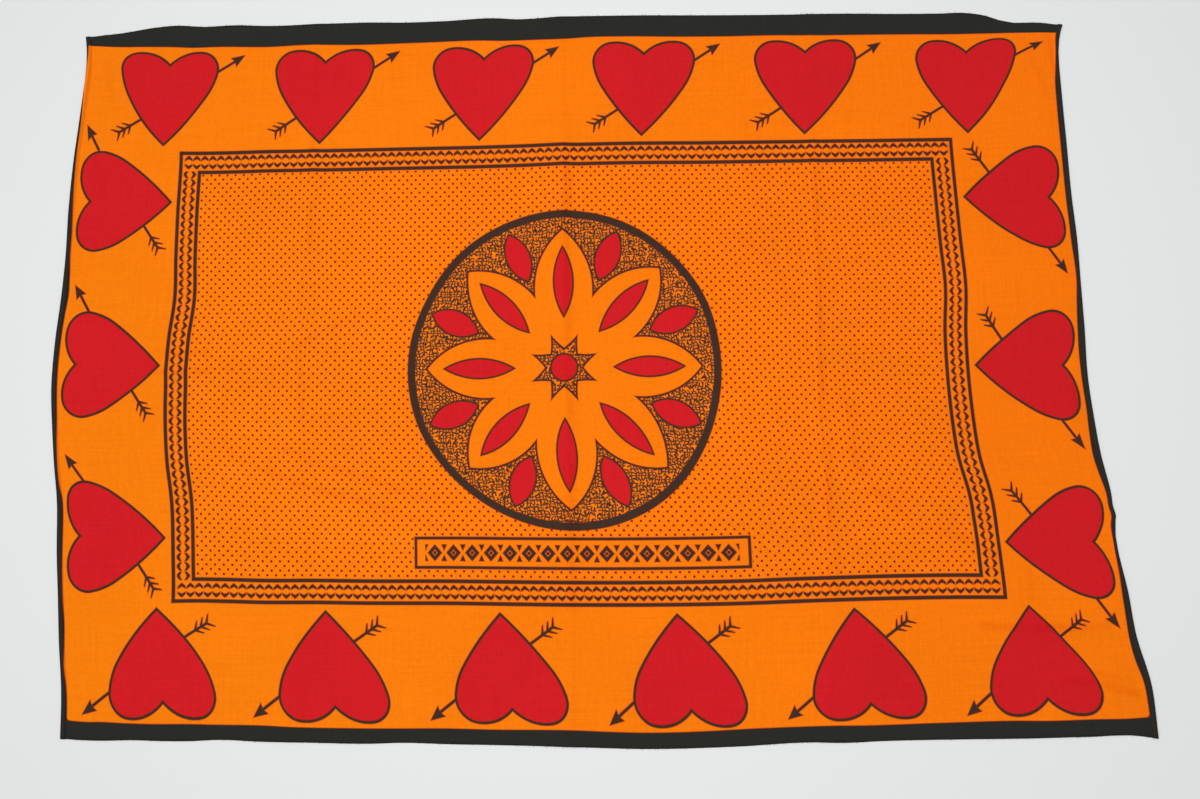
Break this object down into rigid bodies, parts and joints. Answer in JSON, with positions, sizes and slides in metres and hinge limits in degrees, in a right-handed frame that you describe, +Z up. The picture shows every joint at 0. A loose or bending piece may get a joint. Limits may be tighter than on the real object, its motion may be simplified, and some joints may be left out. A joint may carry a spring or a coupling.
{
  "type": "kanga wrap cloth",
  "caption": "Oblong printed cotton wrap cloth laid out flat, with a dark edge, a wide heart border, a dotted field with a round medallion, and a narrow hem at each cut end.",
  "frame": {"origin": "middle of the cloth's box, on the surface that it lies on", "axes": "+X along the cloth's length towards its right hem, +Y across it towards its upper woven edge, +Z up out of the printed face"},
  "size_m": [1.5594, 1.0834, 0.0045],
  "materials": {
    "printed_cotton": "matt plain-weave cotton, printed on one face",
    "hem_cotton": "matt plain-weave cotton, rolled and machine stitched"
  },
  "bodies": {
    "root": {"cloth_panel": "printed_cotton", "hem_left_end": "hem_cotton", "hem_right_end": "hem_cotton"}
  },
  "joints": []
}
